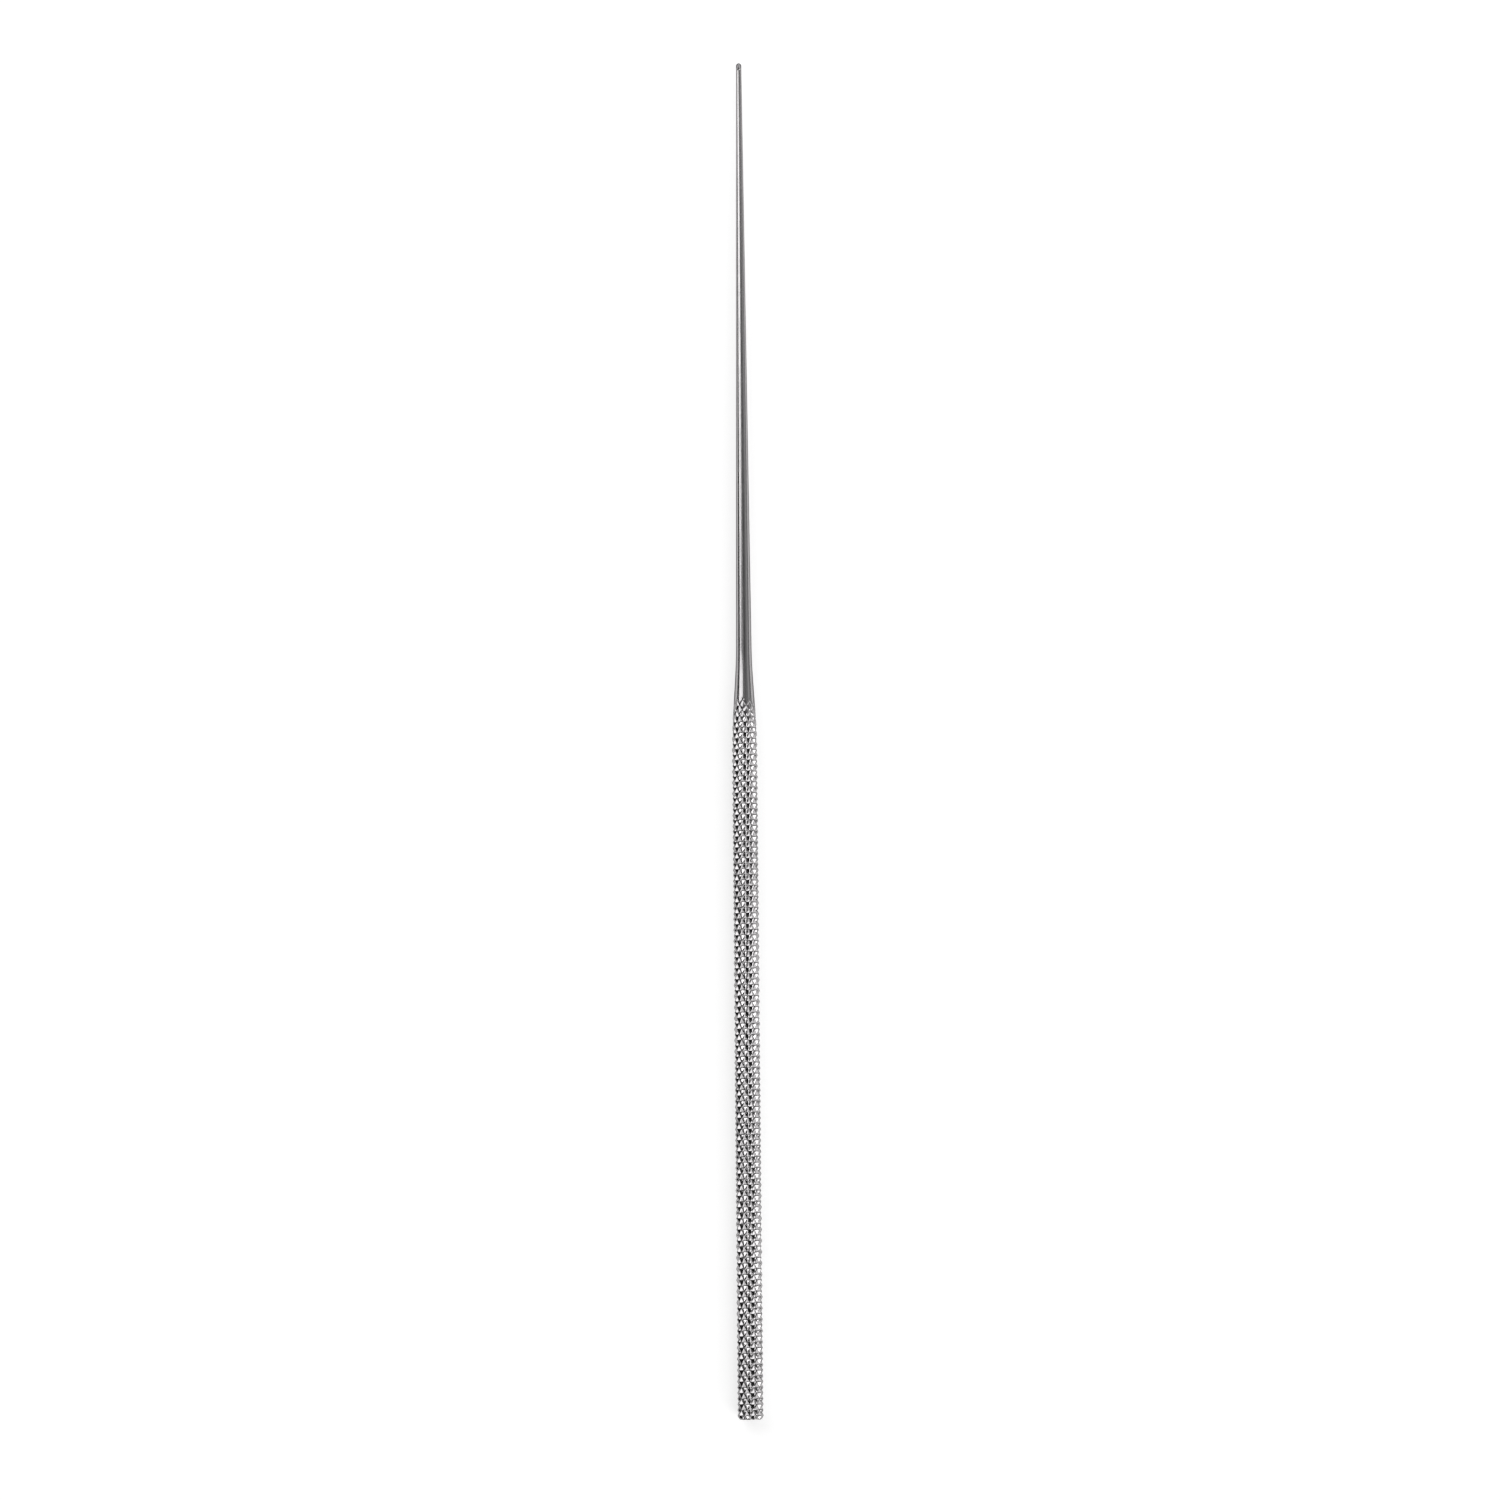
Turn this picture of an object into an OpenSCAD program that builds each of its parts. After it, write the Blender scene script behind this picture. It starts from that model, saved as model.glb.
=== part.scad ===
// A fine bone hook, turned and bent from one steel rod: a diamond-knurled handle, a flare where the
// knurl runs out, a slender tapered shaft and a tight right-angle hook with a ground point.
// It lies along +Y from the middle of its butt face at the origin, and the point of the hook is up.

/* [Overall] */
// Length from the butt face to the outer side of the hook
overall_len = 160; // [140:1:180]

/* [Handle] */
// Turned diameter of the handle
handle_d = 3; // [2.8:0.05:3.6]
// Length of the handle up to the start of the flare
handle_len = 76.3; // [60:0.1:85]
// Chamfer round the butt face
butt_chamfer = 0.28; // [0.1:0.02:0.4]

/* [Knurl] */
// Number of grooves in each of the two crossing families
groove_count = 9; // [7:1:10]
// Distance between neighbouring diamonds along the handle
diamond_len = 1.28; // [1.1:0.02:1.6]
// Depth of the grooves below the turned surface
groove_depth = 0.3; // [0.25:0.01:0.42]
// Height that the turned surface takes off the point of each diamond
point_trim = 0.04; // [0.04:0.01:0.1]
// Distance from the butt face to the first row of groove crossings
first_crossing = 0.44; // [0.1:0.02:0.5]
// Angle from the plane of the hook to a column of groove crossings at the butt face
knurl_turn = -2; // [-22.5:0.25:22.5]
// Angle by which a column winds round the handle from one diamond to the next
knurl_wind = 0.84; // [-2:0.01:2]

/* [Flare and shaft] */
// Length of the flare between the handle and the shaft
flare_len = 13; // [8:0.5:20]
// Diameter of the shaft where it leaves the flare
shaft_d = 1.82; // [1.4:0.02:2.1]

/* [Hook] */
// Diameter of the shaft where it bends, and of the bend
wire_d = 0.64; // [0.5:0.02:1]
// Radius on the inner side of the bend
bend_inner_r = 0.15; // [0.05:0.01:0.4]
// Height of the point above the middle of the shaft
point_height = 1.5; // [1.2:0.05:3]
// Radius of the rounded point
point_r = 0.06; // [0.03:0.01:0.12]

/* [Hidden] */
$fn = 96;

handle_r = handle_d / 2;
shaft_r = shaft_d / 2;
wire_r = wire_d / 2;
flare_end = handle_len + flare_len;
flare_steps = 24;

bend_r = bend_inner_r + wire_r;
bend_start = overall_len - wire_r - bend_r;
prong_len = point_height - bend_r;
point_steps = 8;

// Each stretch of the hook starts a little inside the one before it, where it is slightly thinner
joint_len = wire_r / 4;
joint_r = wire_r - joint_len / 5;

columns = 2 * groove_count;
column_angle = 360 / columns;
row_len = diamond_len / 2;
root_r = handle_r - groove_depth;
crest_r = handle_r + point_trim;
valley_r = root_r * cos(column_angle / 2);
outside_r = crest_r + 1;
knurl_start = first_crossing - row_len;
knurl_end = handle_len + flare_len * run_out();
rows = ceil((knurl_end - knurl_start) / row_len);

// Radius of the shaft's cone at a distance from the butt face
function cone_r(z) = wire_r + (shaft_r - wire_r) * (bend_start - z) / (bend_start - flare_end);

// S-shaped fall from 1 to 0 as t goes from 0 to 1
function fall(t) = 1 - t * t * (3 - 2 * t);

// Radius of the flare, from the handle at t = 0 to the cone of the shaft at t = 1
function flare_r(t) =
    let (cone = cone_r(handle_len + t * flare_len))
    cone + (handle_r - cone) * fall(t);

// Share of the flare at which it is thinner than the bottoms of the grooves
function run_out() =
    min([1, for (i = [0 : flare_steps]) if (flare_r(i / flare_steps) < valley_r) i / flare_steps]);

// Point at a radius, in one column and row of the winding grid of crests and groove crossings
function grid_point(r, column, row) =
    let (
        z = knurl_start + row * row_len,
        angle = knurl_turn - 90 + column * column_angle + knurl_wind * z / diamond_len
    )
    [r * cos(angle), r * sin(angle), z];

// A point of the knurled surface: crests and groove crossings take turns both ways
function knurl_point(column, row) =
    grid_point((column + row) % 2 == 0 ? crest_r : root_r, column, row);

// Two triangles that meet along the bottom of the groove which crosses one cell of the knurl
function knurl_cell(column, row) =
    let (
        next = (column + 1) % columns,
        a = row * columns + column,
        b = row * columns + next,
        c = (row + 1) * columns + next,
        d = (row + 1) * columns + column
    )
    (column + row) % 2 == 0 ? [[a, b, d], [b, c, d]] : [[a, b, c], [a, c, d]];

// Outer wall and the two ends of the body that the grooves take away
function sleeve_faces(column) =
    let (
        next = (column + 1) % columns,
        top = rows * columns,
        outer_low = (rows + 1) * columns,
        outer_top = (rows + 2) * columns
    )
    [
        [outer_low + column, outer_top + column, outer_top + next, outer_low + next],
        [outer_low + column, outer_low + next, next, column],
        [outer_top + next, outer_top + column, top + column, top + next]
    ];

// Everything outside the knurled surface, out to a plain sleeve
module groove_waste() {
    knurl_points = [
        for (row = [0 : rows])
            for (column = [0 : columns - 1])
                knurl_point(column, row)
    ];
    outside_points = [
        for (row = [0, rows])
            for (column = [0 : columns - 1])
                grid_point(outside_r, column, row)
    ];
    knurl_faces = [
        for (row = [0 : rows - 1])
            for (column = [0 : columns - 1])
                each knurl_cell(column, row)
    ];
    outside_faces = [
        for (column = [0 : columns - 1])
            each sleeve_faces(column)
    ];
    polyhedron(concat(knurl_points, outside_points), concat(knurl_faces, outside_faces));
}

// Handle, flare and shaft as they come off the lathe
module turned_blank() {
    flare_points = [
        for (i = [0 : flare_steps])
            [flare_r(i / flare_steps), handle_len + flare_len * i / flare_steps]
    ];
    rotate_extrude()
        polygon(concat(
            [[0, 0], [handle_r - butt_chamfer, 0], [handle_r, butt_chamfer]],
            flare_points,
            [[wire_r, bend_start], [joint_r, bend_start + joint_len], [0, bend_start + joint_len]]
        ));
}

// Quarter-circle bend from the shaft up to the prong
module bend() {
    translate([0, -bend_r, bend_start])
        rotate([90, 0, 90])
            rotate_extrude(angle = 90)
                translate([bend_r, 0])
                    circle(wire_r);
}

// Ground prong: a cone that runs smoothly into its rounded point
module prong() {
    round_z = prong_len - point_r;
    slant = norm([round_z, wire_r]);
    touch_angle = atan(wire_r / round_z) - asin(point_r / slant);
    translate([0, -bend_r, bend_start + bend_r])
        rotate([90, 0, 0])
            rotate_extrude()
                polygon(concat(
                    [[0, -joint_len], [joint_r, -joint_len], [wire_r, 0]],
                    [
                        for (i = [0 : point_steps])
                            let (angle = touch_angle + (90 - touch_angle) * i / point_steps)
                            i < point_steps
                                ? [point_r * cos(angle), round_z + point_r * sin(angle)]
                                : [0, prong_len]
                    ]
                ));
}

module bone_hook() {
    color([0.74, 0.75, 0.77])
        rotate([-90, 0, 0])
            union() {
                difference() {
                    turned_blank();
                    groove_waste();
                }
                bend();
                prong();
            }
}

bone_hook();
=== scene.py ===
from math import asin, atan, atan2, ceil, cos, floor, pi, radians, sin, sqrt

import bmesh
import bpy
from mathutils import Matrix, Vector


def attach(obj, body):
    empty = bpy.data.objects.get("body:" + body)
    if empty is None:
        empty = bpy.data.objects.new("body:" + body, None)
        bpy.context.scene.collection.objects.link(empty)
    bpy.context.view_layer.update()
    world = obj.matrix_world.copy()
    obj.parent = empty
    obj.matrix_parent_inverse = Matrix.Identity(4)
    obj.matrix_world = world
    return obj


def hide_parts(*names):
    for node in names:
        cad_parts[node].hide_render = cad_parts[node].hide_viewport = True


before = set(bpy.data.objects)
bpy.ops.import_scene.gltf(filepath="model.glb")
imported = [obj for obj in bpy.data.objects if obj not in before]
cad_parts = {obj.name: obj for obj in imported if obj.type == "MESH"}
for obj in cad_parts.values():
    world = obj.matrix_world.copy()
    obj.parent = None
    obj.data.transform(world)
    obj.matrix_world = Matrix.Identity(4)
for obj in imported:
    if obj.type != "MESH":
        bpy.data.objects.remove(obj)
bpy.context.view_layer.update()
mm = 0.001


# An sRGB hex colour as linear red, green, blue and alpha
def hexColour(code):
    values = [int(code[i:i + 2], 16) / 255 for i in (1, 3, 5)]
    return [v / 12.92 if v <= 0.04045 else ((v + 0.055) / 1.055) ** 2.4 for v in values] + [1]


# Adds a node, sets its inputs and properties, and links what is given as (node, output)
def addNode(tree, kind, inputs=None, **settings):
    node = tree.nodes.new(kind)
    for name, value in settings.items():
        setattr(node, name, value)
    for name, value in (inputs or {}).items():
        if isinstance(value, tuple) and isinstance(value[0], bpy.types.Node):
            tree.links.new(value[0].outputs[value[1]], node.inputs[name])
        else:
            node.inputs[name].default_value = value
    return node


def newMaterial(name):
    material = bpy.data.materials.new(name)
    material.use_nodes = True
    material.node_tree.nodes.clear()
    return material, material.node_tree


# The steel tool, all in millimetres and degrees, lying along Y with its prong up
tool = {
    "length": 160.0,
    "handleRadius": 1.5,
    "handleLength": 76.3,
    "chamfer": 0.28,
    "edgeRound": 0.03,          # the tiny round that polishing leaves on the butt edge
    "flareLength": 13.0,
    "shaftRadius": 0.91,        # where the flare ends
    "wireRadius": 0.32,         # where the shaft bends
    "bendInnerRadius": 0.15,
    "pointHeight": 1.5,
    "pointRadius": 0.06,
    "buttRings": (0.1, 0.19, 0.26, 0.31),   # where the mesh is cut across the butt chamfer
    "flareRings": 0.4,          # spacing of the cuts on the plain end of the flare
    "shaftRings": 12,           # numbers of cuts on the shaft, the bend, the cone and the point
    "bendSteps": 14,
    "coneSteps": 4,
    "tipSteps": 5,
}

# The knurl: two families of crossing grooves, whose diamonds wind slowly round the handle
knurl = {
    "columns": 18,
    "diamondLength": 1.28,
    "rootRadius": 1.2,
    "crestRadius": 1.54,
    "firstCrossing": 0.44,
    "turn": -2.0,
    "windPerDiamond": 0.84,
    "levels": [0, 0.05, 0.36, 0.64, 0.95, 1],   # where the mesh is cut across one cell
    "soft": 0.03,               # rounding of grooves and ridges, as a share of a groove's depth
    "turnedSoft": 0.012,        # rounding where a diamond meets the turned surface
}

bendRadius = tool["bendInnerRadius"] + tool["wireRadius"]
bendStart = tool["length"] - tool["wireRadius"] - bendRadius
flareEnd = tool["handleLength"] + tool["flareLength"]
rowLength = knurl["diamondLength"] / 2
columnAngle = 360 / knurl["columns"]
knurlStart = knurl["firstCrossing"] - rowLength


# Radius of the turned outline at a distance from the butt face
def outlineRadius(y):
    handle = tool["handleRadius"]
    if y < tool["chamfer"]:
        return handle - tool["chamfer"] + y
    if y <= tool["handleLength"]:
        return handle
    slope = (tool["shaftRadius"] - tool["wireRadius"]) / (bendStart - flareEnd)
    cone = tool["wireRadius"] + slope * (bendStart - y)
    t = min((y - tool["handleLength"]) / tool["flareLength"], 1)
    return cone + (handle - cone) * (1 - t * t * (3 - 2 * t))


# The lesser of two values, with a small round where they meet
def softMin(a, b, width):
    gap = max(width - abs(a - b), 0) / width
    return min(a, b) - gap * gap * width / 4


# Radius of the knurled surface, with u counted in columns and w in rows
def knurlRadius(u, w):
    depths = []
    for lane in ((u + w) / 2, (u - w) / 2):
        d = 2 * abs(lane - floor(lane + 0.5))
        depths.append(sqrt(d * d + knurl["soft"] ** 2) - knurl["soft"])
    share = softMin(depths[0], depths[1], 2 * knurl["soft"])
    return knurl["rootRadius"] + (knurl["crestRadius"] - knurl["rootRadius"]) * share


# Radius of the finished tool at u columns round it and y along it
def surfaceRadius(u, y):
    outline = outlineRadius(y)
    if y > knurlEnd:
        return outline
    return softMin(outline, knurlRadius(u, (y - knurlStart) / rowLength + 1), knurl["turnedSoft"])


# Angle by which the columns have wound round the tool
def columnTurn(y):
    return knurl["turn"] + min(y, knurlEnd) / knurl["diamondLength"] * knurl["windPerDiamond"]


# Where the flare has sunk below the grooves, the knurl ends
searchStep = 0.05
valleyRadius = knurl["rootRadius"] * cos(radians(columnAngle / 2))
knurlEnd = tool["handleLength"]
while outlineRadius(knurlEnd) > valleyRadius:
    knurlEnd += searchStep
knurlRows = ceil((knurlEnd - knurlStart) / rowLength)
knurlEnd = knurlStart + knurlRows * rowLength


# Rings along the handle: each is a cell's row and cut, or a plain distance from the butt face
def ringPlaces():
    plain = [0, tool["edgeRound"], *tool["buttRings"]]
    firstCut = plain[-1] + tool["edgeRound"]
    places = [(y, None) for y in plain]
    for row in range(knurlRows):
        for level in range(len(knurl["levels"]) - 1):
            y = knurlStart + (row + knurl["levels"][level]) * rowLength
            if y > firstCut:
                places.append((y, (row, level)))
    places.append((knurlEnd, (knurlRows, 0)))
    y = knurlEnd + tool["flareRings"]
    while y < flareEnd - tool["flareRings"] / 2:
        places.append((y, None))
        y += tool["flareRings"]
    for step in range(tool["shaftRings"] + 1):
        places.append((flareEnd + (bendStart - flareEnd) * step / tool["shaftRings"], None))
    return places


places = ringPlaces()
cuts = len(knurl["levels"]) - 1
spinSteps = knurl["columns"] * cuts
# The plain spun blank, whose radius grows by a step at each ring
blank = {"radius": 2.0, "ringStep": 0.001, "buttHole": 0.7}
nearZero = 0.001
mergeDistance = 1e-5 * mm


# Place of a point in its cell, drawn in towards the groove that crosses the cell
def cellPoint(i, j, even):
    levels = knurl["levels"]
    mirrored = i if even else cuts - i
    middle = (levels[mirrored] + levels[j]) / 2
    away = levels[abs(mirrored - j)] / 2
    if mirrored < j:
        away = -away
    u = middle + away
    return (u if even else 1 - u), middle - away


# Puts a vertex of the plain spun blank on the knurled and turned surface
def placeOnHandle(vert, ring, step):
    y, cell = places[ring]
    column, i = divmod(step, cuts)
    u = column + knurl["levels"][i]
    if cell and cell[0] < knurlRows:
        row, j = cell
        across, along = cellPoint(i, j, (column + row) % 2 == 1)
        u = column + across
        y = knurlStart + (row + along) * rowLength
    radius = surfaceRadius(u, y)
    if ring == 0:
        radius -= tool["edgeRound"] / 2
    angle = radians(u * columnAngle + columnTurn(y))
    vert.co = Vector((radius * sin(angle), y, radius * cos(angle))) * mm


# Splits a four-sided face along the diagonal that lies nearer the true surface
def splitFace(face):
    corners = list(face.verts)
    gaps = []
    for a, b in ((corners[0], corners[2]), (corners[1], corners[3])):
        middle = (a.co + b.co) / 2 / mm
        angle = atan2(middle.x, middle.z) * 180 / pi
        u = (angle - columnTurn(middle.y)) / columnAngle
        gaps.append(abs(sqrt(middle.x ** 2 + middle.z ** 2) - surfaceRadius(u, middle.y)))
    a, b = (corners[0], corners[2]) if gaps[0] <= gaps[1] else (corners[1], corners[3])
    bmesh.utils.face_split(face, a, b)


# Adds a ring to the open end of the prong, at a radius and a height above the tool's axis
def addProngRing(bm, edges, radius, height):
    grown = bmesh.ops.extrude_edge_only(bm, edges=edges)["geom"]
    verts = [g for g in grown if isinstance(g, bmesh.types.BMVert)]
    centre = Vector((0, bendStart + bendRadius, height)) * mm
    for vert in verts:
        out = Vector((vert.co.x, vert.co.y - centre.y, 0))
        vert.co = centre + out.normalized() * radius * mm
    return verts, [g for g in grown if isinstance(g, bmesh.types.BMEdge) and g.is_boundary]


def makeTool():
    bm = bmesh.new()
    points = [bm.verts.new((0, 0, 0)), bm.verts.new((0, 0, blank["buttHole"] * mm))]
    for ring, (y, cell) in enumerate(places):
        points.append(bm.verts.new(Vector((0, y, blank["radius"] + blank["ringStep"] * ring)) * mm))
    edges = [bm.edges.new(pair) for pair in zip(points, points[1:])]
    bmesh.ops.spin(bm, geom=points + edges, cent=(0, 0, 0), axis=(0, 1, 0), angle=2 * pi,
                   steps=spinSteps, use_merge=True)
    bmesh.ops.remove_doubles(bm, verts=bm.verts, dist=mergeDistance)
    print("tool: spun a blank of", len(bm.faces), "faces")

    # The blank's radius tells its rings apart, and the angle gives the step round it
    lastRing = []
    for vert in bm.verts:
        radius = Vector((vert.co.x, vert.co.z)).length / mm
        if radius > blank["buttHole"] + nearZero:
            ring = round((radius - blank["radius"]) / blank["ringStep"])
            step = round(atan2(vert.co.x, vert.co.z) / (2 * pi) * spinSteps) % spinSteps
            placeOnHandle(vert, ring, step)
            if ring == len(places) - 1:
                lastRing.append(vert)
    for face in [f for f in bm.faces if len(f.verts) == 4]:
        ends = [v.co.y / mm for v in face.verts]
        if min(ends) > nearZero and max(ends) < knurlEnd + nearZero:
            splitFace(face)
    print("tool: knurled", knurlRows, "rows of", knurl["columns"], "columns")

    rim = [e for e in bm.edges if e.is_boundary]
    bent = bmesh.ops.spin(bm, geom=lastRing + rim, cent=Vector((0, bendStart, bendRadius)) * mm,
                          axis=(1, 0, 0), angle=pi / 2, steps=tool["bendSteps"], use_merge=False)
    rim = [g for g in bent["geom_last"] if isinstance(g, bmesh.types.BMEdge)]

    # The ground cone meets the rounded point where both have the same slope
    roundHeight = tool["pointHeight"] - tool["pointRadius"]
    rise = roundHeight - bendRadius
    slant = sqrt(rise ** 2 + tool["wireRadius"] ** 2)
    touch = atan(tool["wireRadius"] / rise) - asin(tool["pointRadius"] / slant)
    touchRadius = tool["pointRadius"] * cos(touch)
    touchHeight = roundHeight + tool["pointRadius"] * sin(touch)
    for n in range(1, tool["coneSteps"] + 1):
        share = n / tool["coneSteps"]
        radius = tool["wireRadius"] + (touchRadius - tool["wireRadius"]) * share
        verts, rim = addProngRing(bm, rim, radius, bendRadius + (touchHeight - bendRadius) * share)
    for n in range(1, tool["tipSteps"] + 1):
        angle = touch + (pi / 2 - touch) * n / (tool["tipSteps"] + 0.5)
        verts, rim = addProngRing(bm, rim, tool["pointRadius"] * cos(angle),
                                  roundHeight + tool["pointRadius"] * sin(angle))
    verts, rim = addProngRing(bm, rim, tool["pointRadius"] / 20, tool["pointHeight"])
    point = Vector((0, bendStart + bendRadius, tool["pointHeight"])) * mm
    bmesh.ops.pointmerge(bm, verts=verts, merge_co=point)
    bmesh.ops.recalc_face_normals(bm, faces=bm.faces)
    for face in bm.faces:
        face.smooth = True
    openEdges = [e for e in bm.edges if not e.is_manifold]
    mesh = bpy.data.meshes.new("boneHook")
    bm.to_mesh(mesh)
    bm.free()
    piece = bpy.data.objects.new("boneHook", mesh)
    bpy.context.collection.objects.link(piece)
    print("tool:", len(mesh.polygons), "faces,", len(openEdges), "open edges")
    return piece


# Satin stainless steel, turned, knurled and rubbed down: a pale grey metal with soft reflections,
# faint rings left by turning, cloudy patches and a duller shaft
def satinSteel():
    finish = {
        "pale": "#B6B4B5",
        "dull": "#A9A7A8",
        "roughness": (0.1, 0.16),
        "shaftDullness": 1.4,        # roughness of the rubbed shaft, as a multiple of the knurl's
        "ringSpacing": 0.08 * mm,    # finer on the real tool, but then too fine to show
        "ringLength": 17 * mm,
        "ringDepth": 0.02 * mm,
        "cloudSize": 1.6 * mm,
        "bump": 0.05,
        "rim": "#272727",            # tint of the steel where it's seen at a slant
    }
    material, tree = newMaterial("satinStainlessSteel")
    place = addNode(tree, "ShaderNodeTexCoord")
    alongTool = addNode(tree, "ShaderNodeMapping", {
        "Vector": (place, "Object"),
        "Scale": (1 / finish["ringLength"], 1 / finish["ringSpacing"], 1 / finish["ringLength"])})
    rings = addNode(tree, "ShaderNodeTexNoise", {
        "Vector": (alongTool, "Vector"), "Scale": 1.0, "Detail": 2.0})
    clouds = addNode(tree, "ShaderNodeTexNoise", {
        "Vector": (place, "Object"), "Scale": 1 / finish["cloudSize"], "Detail": 3.0})
    colour = addNode(tree, "ShaderNodeMix", {
        "Factor": (clouds, "Fac"), 6: hexColour(finish["pale"]), 7: hexColour(finish["dull"])},
        data_type="RGBA")
    rough = addNode(tree, "ShaderNodeMapRange", {
        "Value": (clouds, "Fac"), "From Min": 0.3, "From Max": 0.7,
        "To Min": finish["roughness"][0], "To Max": finish["roughness"][1]})
    axes = addNode(tree, "ShaderNodeSeparateXYZ", {"Vector": (place, "Object")})
    dulling = addNode(tree, "ShaderNodeMapRange", {
        "Value": (axes, "Y"), "From Min": tool["handleLength"] * mm, "From Max": flareEnd * mm,
        "To Min": 1.0, "To Max": finish["shaftDullness"]})
    rough = addNode(tree, "ShaderNodeMath", {0: (rough, "Result"), 1: (dulling, "Result")},
                    operation="MULTIPLY")
    bump = addNode(tree, "ShaderNodeBump", {
        "Height": (rings, "Fac"), "Strength": finish["bump"], "Distance": finish["ringDepth"]})
    steel = addNode(tree, "ShaderNodeBsdfPrincipled", {
        "Base Color": (colour, 2), "Metallic": 1.0, "Roughness": (rough, 0),
        "Normal": (bump, "Normal"), "Specular Tint": hexColour(finish["rim"])})
    addNode(tree, "ShaderNodeOutputMaterial", {"Surface": (steel, "BSDF")})
    return material


hook = makeTool()
hook.data.materials.append(satinSteel())
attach(hook, "root")
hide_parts("bone_hook")


# The floor that the handle lies on, with half its width and its middle in metres
ground = {"size": 1.6, "middle": 0.08, "height": -1.5 * mm, "colour": "#BCBCBC", "glow": 0.63}


def makeFloor():
    bm = bmesh.new()
    bmesh.ops.create_grid(bm, x_segments=1, y_segments=1, size=ground["size"])
    bmesh.ops.translate(bm, verts=bm.verts, vec=(0, ground["middle"], ground["height"]))
    mesh = bpy.data.meshes.new("floor")
    bm.to_mesh(mesh)
    bm.free()
    piece = bpy.data.objects.new("floor", mesh)
    bpy.context.collection.objects.link(piece)
    return piece


# White paper, which the camera and the steel both see as white, with the tool's shadow on it
def whitePaper():
    material, tree = newMaterial("whitePaper")
    paper = addNode(tree, "ShaderNodeBsdfDiffuse", {"Color": hexColour(ground["colour"])})
    path = addNode(tree, "ShaderNodeLightPath")
    seen = addNode(tree, "ShaderNodeMath", {0: (path, "Is Camera Ray"), 1: (path, "Is Glossy Ray")},
                   operation="MAXIMUM")
    seen = addNode(tree, "ShaderNodeMath", {0: (seen, 0), 1: (path, "Is Transmission Ray")},
                   operation="MAXIMUM")
    share = addNode(tree, "ShaderNodeMath", {0: (seen, 0), 1: ground["glow"]}, operation="MULTIPLY")
    glow = addNode(tree, "ShaderNodeEmission", {"Strength": (share, 0)})
    both = addNode(tree, "ShaderNodeAddShader", {0: (paper, "BSDF"), 1: (glow, "Emission")})
    addNode(tree, "ShaderNodeOutputMaterial", {"Surface": (both, "Shader")})
    return material


floorPiece = makeFloor()
floorPiece.data.materials.append(whitePaper())


# A direction from the tool: degrees towards its tip, and degrees to the right of straight above it
def direction(tipward, right):
    up, side = radians(tipward), radians(right)
    return Vector((sin(side) * cos(up), sin(up), cos(side) * cos(up)))


# Softboxes by the direction they stand in, with their turn in degrees, their width and height in
# metres and their power in watts
softboxes = {
    "keyLight": {"tipward": 41, "right": -45, "turn": 17.5, "size": (0.8, 1.0), "power": 5.2},
    "lowLight": {"tipward": -34, "right": 41, "turn": 0, "size": (0.9, 0.51), "power": 4.7},
    "sideLight": {"tipward": 8, "right": 59, "turn": 15, "size": (0.33, 1.22), "power": 0.32},
    "tipLight": {"tipward": 44, "right": 45, "turn": 0, "size": (1.6, 0.5), "power": 2.5},
}
softboxDistance = 0.9
softboxAim = Vector((0, 60, 0)) * mm


def addSoftbox(name, box):
    out = direction(box["tipward"], box["right"])
    across = direction(0, box["right"] + 90)
    lamp = bpy.data.lights.new(name, "AREA")
    lamp.shape = "RECTANGLE"
    lamp.size, lamp.size_y = box["size"]
    lamp.energy = box["power"]
    holder = bpy.data.objects.new(name, lamp)
    facing = Matrix((across, out.cross(across), out)).transposed()
    turned = Matrix.Rotation(radians(box["turn"]), 3, "Z")
    holder.rotation_euler = (facing @ turned).to_euler()
    holder.location = softboxAim + out * softboxDistance
    holder.visible_camera = False
    bpy.context.collection.objects.link(holder)


for name, box in softboxes.items():
    addSoftbox(name, box)

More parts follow.
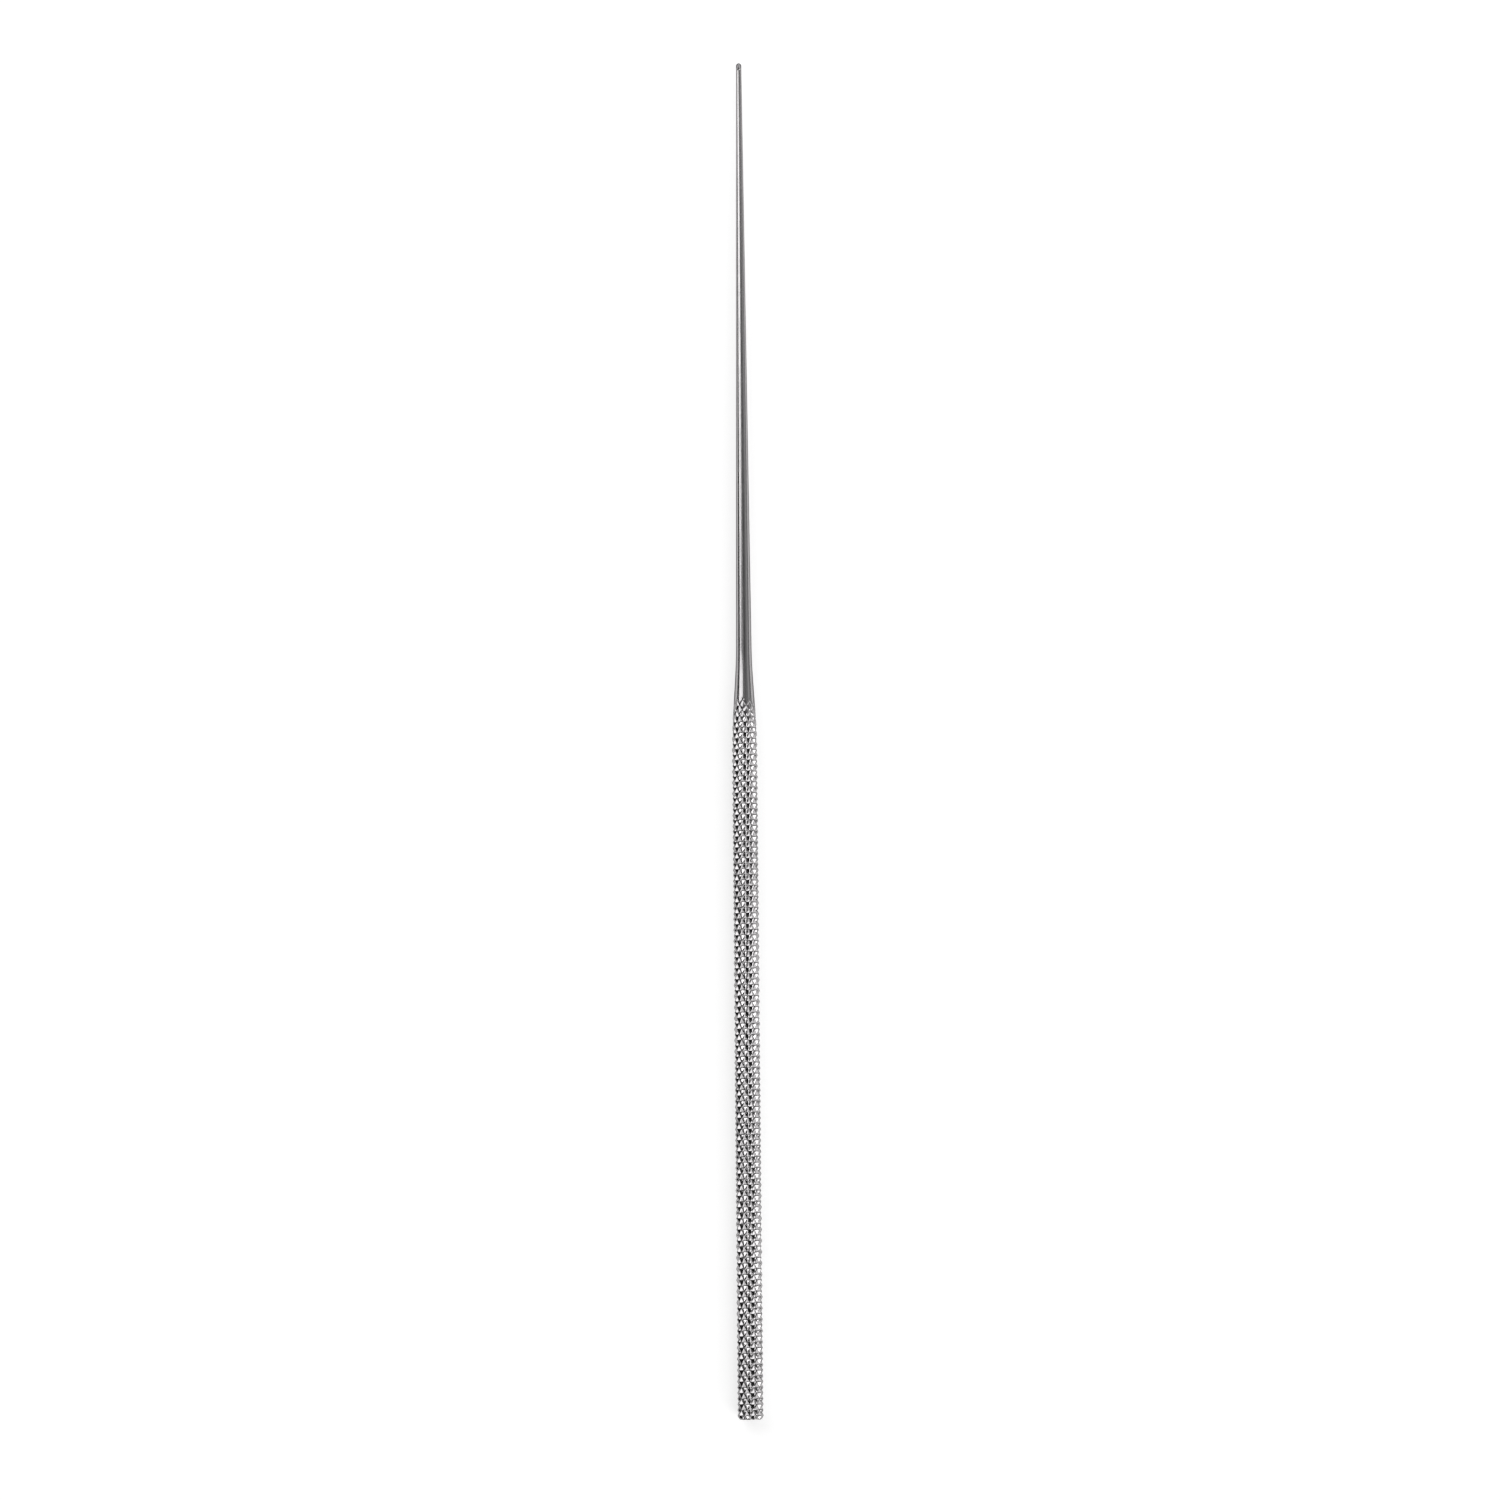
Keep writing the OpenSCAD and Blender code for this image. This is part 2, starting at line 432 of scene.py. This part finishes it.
# A grey room, darker to the lower left and just beside the camera: each dark side is full inside
# one angle and gone outside the other
room = {
    "level": 0.31,
    "darkSides": [
        {"tipward": -29, "right": -62, "inner": 38, "outer": 58, "share": 0.08},
        {"tipward": 5, "right": 11, "inner": 6, "outer": 14, "share": 0.3},
    ],
}


def addRoom():
    world = bpy.data.worlds.new("room")
    world.use_nodes = True
    tree = world.node_tree
    tree.nodes.clear()
    place = addNode(tree, "ShaderNodeTexCoord")
    level = addNode(tree, "ShaderNodeValue")
    level.outputs[0].default_value = room["level"]
    for side in room["darkSides"]:
        nearness = addNode(tree, "ShaderNodeVectorMath", {
            0: (place, "Generated"), 1: direction(side["tipward"], side["right"])},
            operation="DOT_PRODUCT")
        share = addNode(tree, "ShaderNodeMapRange", {
            "Value": (nearness, "Value"), "From Min": cos(radians(side["outer"])),
            "From Max": cos(radians(side["inner"])), "To Min": 1.0, "To Max": side["share"]},
            interpolation_type="SMOOTHSTEP")
        level = addNode(tree, "ShaderNodeMath", {0: (level, 0), 1: (share, "Result")},
                        operation="MULTIPLY")
    grey = addNode(tree, "ShaderNodeBackground", {"Strength": (level, 0)})
    addNode(tree, "ShaderNodeOutputWorld", {"Surface": (grey, "Background")})
    bpy.context.scene.world = world


addRoom()
bpy.context.scene.view_settings.view_transform = "Standard"
print("lights, room and floor placed")

# Camera above the tool, leaning a little towards its butt end, in millimetres and degrees
view = {"lens": 92.4, "sensor": 36, "distance": 450.5, "nearest": 10, "lean": 7.3,
        "roll": -0.517, "aim": (0.622, 77.25, 0)}
lens = bpy.data.cameras.new("camera")
lens.lens = view["lens"]
lens.sensor_width = view["sensor"]
lens.clip_start = view["nearest"] * mm
camera = bpy.data.objects.new("camera", lens)
bpy.context.collection.objects.link(camera)
lean = Matrix.Rotation(radians(view["lean"]), 4, "X")
roll = Matrix.Rotation(radians(view["roll"]), 4, "Z")

aimed = Matrix.Translation(Vector(view["aim"]) * mm)
back = Matrix.Translation((0, 0, view["distance"] * mm))
camera.matrix_world = aimed @ lean @ back @ roll
bpy.context.scene.camera = camera
